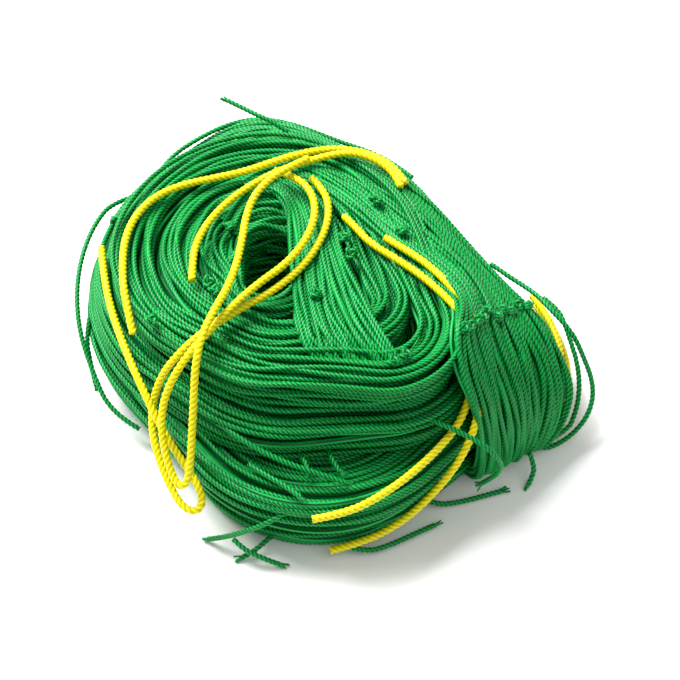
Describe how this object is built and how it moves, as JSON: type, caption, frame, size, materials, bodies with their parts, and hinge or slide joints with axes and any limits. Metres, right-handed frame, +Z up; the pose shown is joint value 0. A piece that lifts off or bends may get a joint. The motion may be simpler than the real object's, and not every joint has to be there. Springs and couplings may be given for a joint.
{
  "type": "climbing net",
  "caption": "Hank of knotted climbing net: green twisted twine wound in stacked turns round an eye, with yellow header cord in a loose bow on top.",
  "frame": {"origin": "on the surface the hank lies on, under the middle of its overall box", "axes": "+Z up through the stacked turns, +X along the hank's length towards its narrow wrapped end, -Y towards the side where most cut ends lie"},
  "size_m": [0.1178, 0.1117, 0.0453],
  "materials": {
    "green_twine": "three-ply twisted polyethylene twine, satin",
    "yellow_cord": "three-ply twisted polyethylene cord, satin"
  },
  "bodies": {
    "root": {"bottom_core": "green_twine", "bottom_turn_eye": "green_twine", "bottom_turn_inner": "green_twine", "bottom_turn_outer": "green_twine", "cord_bow": "yellow_cord", "cord_inner_arc": "yellow_cord", "cord_left_arc": "yellow_cord", "cord_left_long": "yellow_cord", "cord_right_lower": "yellow_cord", "cord_right_upper": "yellow_cord", "cord_tail_lower": "yellow_cord", "cord_tail_upper": "yellow_cord", "knots_back_band": "green_twine", "knots_by_eye": "green_twine", "knots_crown_left": "green_twine", "knots_front_bight": "green_twine", "knots_left_band": "green_twine", "knots_right_row": "green_twine", "loop_right_inner": "green_twine", "loop_right_outer": "green_twine", "lower_core": "green_twine", "lower_turn_eye": "green_twine", "lower_turn_inner": "green_twine", "lower_turn_outer": "green_twine", "strand_back_edge": "green_twine", "strand_left_edge": "green_twine", "tail_back_top": "green_twine", "tail_front_frayed": "green_twine", "tail_front_left": "green_twine", "tail_front_long": "green_twine", "tail_front_middle": "green_twine", "tail_front_under": "green_twine", "tail_left_side": "green_twine", "tail_right_curl": "green_twine", "tail_right_floor": "green_twine", "tail_right_tip": "green_twine", "tail_trough_left": "green_twine", "tail_trough_right": "green_twine", "tail_trough_upper": "green_twine", "top_turn_eye": "green_twine", "top_turn_inner": "green_twine", "top_turn_outer": "green_twine", "upper_core": "green_twine", "upper_turn_eye": "green_twine", "upper_turn_inner": "green_twine", "upper_turn_outer": "green_twine", "wrap_inner": "green_twine", "wrap_middle": "green_twine", "wrap_outer": "green_twine"}
  },
  "joints": []
}
